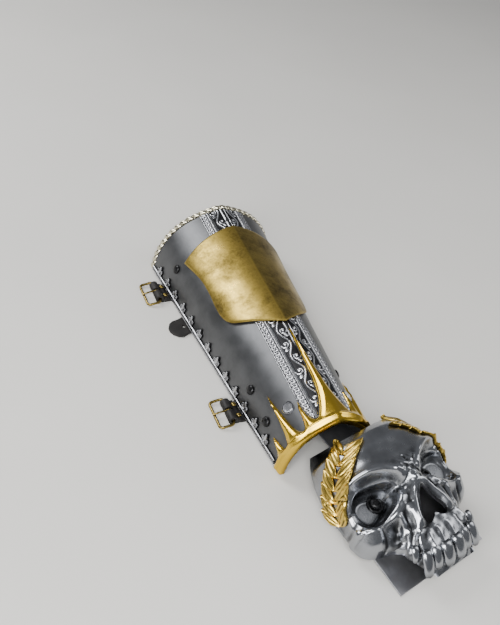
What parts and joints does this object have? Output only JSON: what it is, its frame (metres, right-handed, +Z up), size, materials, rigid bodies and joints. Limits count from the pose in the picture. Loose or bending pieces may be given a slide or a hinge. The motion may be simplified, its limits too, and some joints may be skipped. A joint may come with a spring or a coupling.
{
  "type": "vambrace with hand guard",
  "caption": "Tapered metal forearm guard with relief bands and a shield plaque, a cast skull over the back-of-hand plate, and buckled leather straps across its open side",
  "frame": {"origin": "on the ground under the middle of the whole guard's bounding box", "axes": "+X to the wearer's side without buckles, +Y from the hand guard to the elbow end, +Z up from the open side to the crown, as it lies on a table"},
  "size_m": [0.177, 0.3926, 0.0703],
  "materials": {
    "shell_steel": "dark gunmetal, satin, lightly brushed along its length",
    "aged_brass": "mottled aged brass, dark patina with rubbed highlights",
    "bright_brass": "bright brushed brass",
    "pale_brass": "pale nickel-brass, polished",
    "antique_silver": "cast relief, blackened ground and rubbed silver ridges",
    "black_steel": "blackened steel, semi-gloss",
    "skull_metal": "cast, darkened and rubbed bright on the ridges",
    "antique_gold": "cast, antique gold",
    "plate_steel": "satin sheet steel",
    "strap_leather": "black leather, matte",
    "buckle_brass": "polished brass, slightly worn"
  },
  "bodies": {
    "root": {"edge_border_left": "antique_silver", "edge_border_right": "antique_silver", "elbow_buckle": "buckle_brass", "elbow_prong": "buckle_brass", "elbow_strap": "strap_leather", "elbow_tab": "strap_leather", "elbow_tab_rivet_1": "buckle_brass", "elbow_tab_rivet_2": "buckle_brass", "eye_bolt_left": "black_steel", "eye_bolt_right": "black_steel", "eye_washer_left": "black_steel", "eye_washer_right": "black_steel", "forearm_shell": "shell_steel", "hand_plate": "plate_steel", "hinge_sling": "strap_leather", "knot_band_left": "antique_silver", "knot_band_right": "antique_silver", "laurel_left": "antique_gold", "laurel_right": "antique_gold", "ring_rivet_left": "shell_steel", "ring_rivet_right": "shell_steel", "roped_rim": "pale_brass", "shell_rivet_left_elbow": "black_steel", "shell_rivet_left_middle": "black_steel", "shell_rivet_left_wrist": "black_steel", "shell_rivet_right_elbow": "black_steel", "shell_rivet_right_middle": "black_steel", "shell_rivet_right_wrist": "black_steel", "shield_plaque": "aged_brass", "skull": "skull_metal", "vine_panel_left": "antique_silver", "vine_panel_right": "antique_silver", "wrist_buckle": "buckle_brass", "wrist_prong": "buckle_brass", "wrist_strap": "strap_leather", "wrist_tab": "strap_leather", "wrist_tab_rivet_1": "buckle_brass", "wrist_tab_rivet_2": "buckle_brass", "wrist_trim": "bright_brass"}
  },
  "joints": []
}
